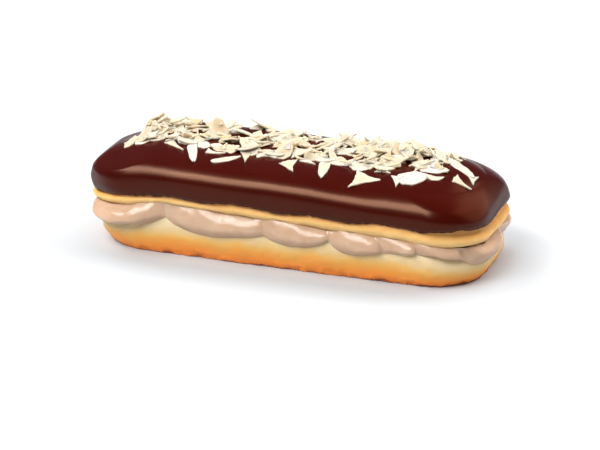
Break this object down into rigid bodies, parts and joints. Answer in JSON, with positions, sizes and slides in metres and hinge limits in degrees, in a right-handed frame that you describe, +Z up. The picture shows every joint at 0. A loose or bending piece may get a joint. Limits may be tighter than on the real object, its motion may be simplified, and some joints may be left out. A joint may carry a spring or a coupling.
{
  "type": "long john doughnut",
  "caption": "Oblong yeast doughnut split along its middle, filled with mocha cream, iced with dark chocolate and strewn with flaked almonds.",
  "frame": {"origin": "centre of the doughnut's box at the level of the flat underside that it rests on", "axes": "+X along the doughnut, -Y towards the front that the picture shows, +Z up"},
  "size_m": [0.1543, 0.0632, 0.0414],
  "materials": {
    "base_crust": "fried dough, golden brown below and pale at the cut",
    "cream": "soft mocha cream with a slight sheen",
    "top_crust": "fried dough, golden",
    "icing": "glossy dark chocolate with cream-white almond flakes"
  },
  "bodies": {
    "root": {"doughnut_base": "base_crust", "cream_filling": "cream", "doughnut_top": "top_crust", "chocolate_icing": "icing"}
  },
  "joints": []
}
